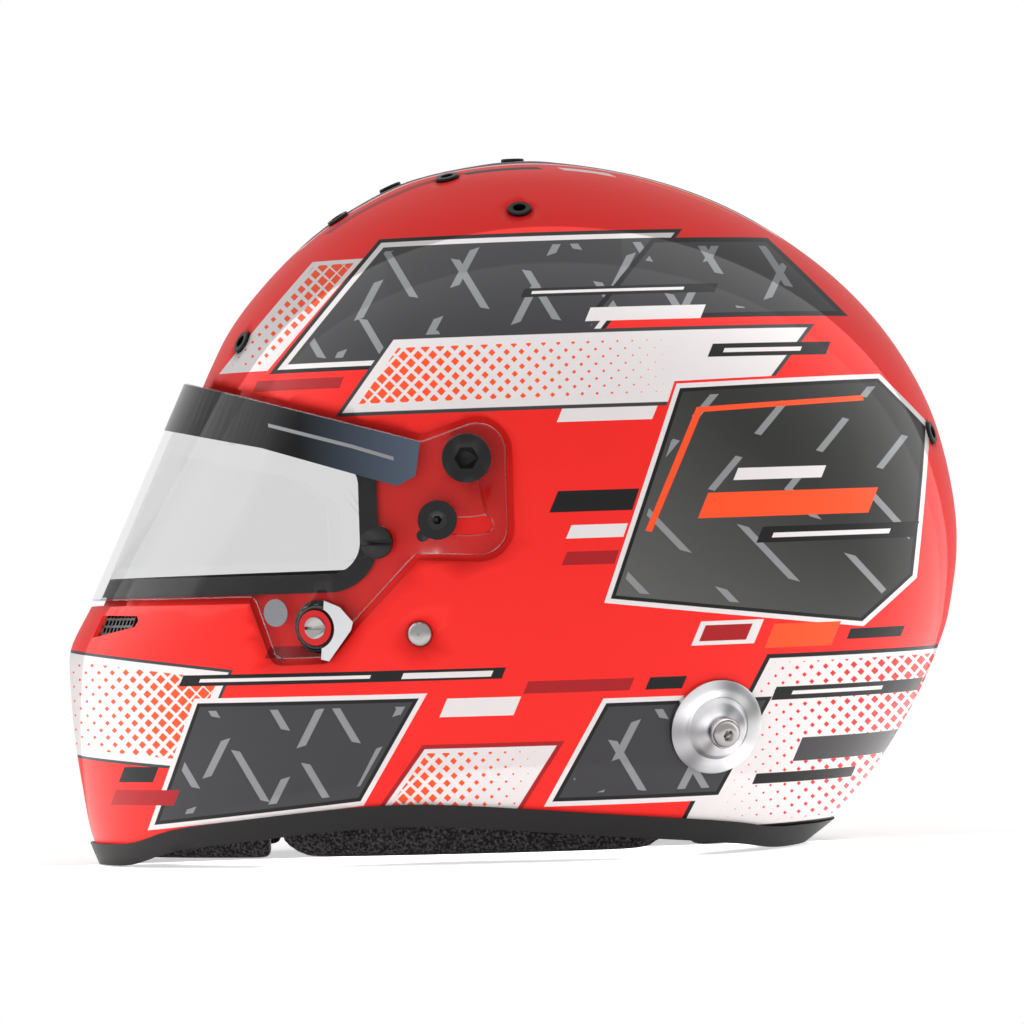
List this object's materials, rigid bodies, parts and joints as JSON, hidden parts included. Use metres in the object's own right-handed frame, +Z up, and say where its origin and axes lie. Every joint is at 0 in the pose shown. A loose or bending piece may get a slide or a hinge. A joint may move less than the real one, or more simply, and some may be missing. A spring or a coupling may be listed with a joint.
{
  "type": "auto racing helmet",
  "caption": "Full-face auto racing helmet with a hinged clear shield, push lock, tear-off posts, tether anchors, padded liner and D-ring chin strap.",
  "frame": {"origin": "on the rest plane, below the middle of the helmet's length and width", "axes": "-X is the way the wearer faces, -Y the wearer's left side, +Z up"},
  "size_m": [0.3501, 0.2578, 0.2714],
  "materials": {
    "painted_shell": "satin lacquer",
    "black_rubber": "matte",
    "clear_shield": "clear polycarbonate",
    "sun_strip": "satin film",
    "black_plastic": "satin",
    "black_gloss": "gloss",
    "red_anodised": "anodised",
    "bare_aluminium": "turned",
    "steel": "satin",
    "foil": "foil",
    "energy_foam": "moulded bead foam",
    "pad_fabric": "speckled knit",
    "webbing": "woven"
  },
  "bodies": {
    "helmet": {"shell": "painted_shell", "edge_trim": "black_rubber", "eyeport_gasket": "black_rubber", "vent_grommets": "black_plastic", "chin_vent_mesh_left": "black_plastic", "chin_vent_mesh_right": "black_plastic", "anchor_washers": "bare_aluminium", "anchor_posts": "bare_aluminium", "anchor_screws": "steel", "anchor_nuts": "steel", "strap_rivets": "steel", "strap_rivet_washers": "steel", "chin_strap_left": "webbing", "chin_strap_right": "webbing", "crown_liner": "energy_foam", "comfort_liner": "pad_fabric", "cheek_pad_left": "pad_fabric", "cheek_pad_right": "pad_fabric", "chin_bar_foam": "energy_foam", "chin_bar_pad": "pad_fabric", "neck_roll": "pad_fabric", "pad_snaps": "black_plastic", "pivot_bushes": "bare_aluminium", "pivot_nuts": "steel", "pivot_caps": "black_plastic", "slot_bushes": "bare_aluminium", "slot_nuts": "steel", "cam_washers": "black_gloss", "slot_screws": "black_plastic", "lock_strike": "bare_aluminium"},
    "visor": {"visor_shield": "clear_shield", "visor_inner_pane": "clear_shield", "visor_top_strip": "sun_strip", "foil_disc": "foil", "lift_lever": "bare_aluminium", "lock_housing": "black_plastic"},
    "lock_button": {"lock_ring": "red_anodised", "lock_pin": "black_plastic", "lock_spring": "steel"},
    "tearoff_left": {"tearoff_post_left": "black_plastic"},
    "tearoff_right": {"tearoff_post_right": "black_plastic"},
    "d_ring_outer": {"d_ring_outer": "steel"},
    "d_ring_inner": {"d_ring_inner": "steel"}
  },
  "joints": [
    {"name": "visor_hinge", "type": "hinge", "parent": "helmet", "child": "visor", "pos_m": [-0.0165, 0, 0.1536], "axis": [0, 1, 0], "range_deg": [0, 40]},
    {"name": "lock_press", "type": "slide", "parent": "visor", "child": "lock_button", "axis": [0.3946, 0.9156, 0.0777], "range_m": [0, 0.0016], "stiffness_N_per_m": 2000, "springref_m": -0.0005},
    {"name": "tearoff_turn_left", "type": "hinge", "parent": "visor", "child": "tearoff_left", "pos_m": [-0.0512, -0.11752, 0.123], "axis": [-0.3343, -0.9425, -0.0011], "range_deg": [0, 180]},
    {"name": "tearoff_turn_right", "type": "hinge", "parent": "visor", "child": "tearoff_right", "pos_m": [-0.0512, 0.11752, 0.123], "axis": [-0.3343, 0.9425, -0.0011], "range_deg": [-180, 0]},
    {"name": "d_ring_outer_swing", "type": "hinge", "parent": "helmet", "child": "d_ring_outer", "pos_m": [-0.02194, 0.05968, 0.04674], "axis": [0.9698, 0.2437, 0], "range_deg": [0, 30]},
    {"name": "d_ring_inner_swing", "type": "hinge", "parent": "helmet", "child": "d_ring_inner", "pos_m": [-0.02077, 0.05505, 0.04715], "axis": [0.9698, 0.2437, 0], "range_deg": [-60, 0]}
  ]
}
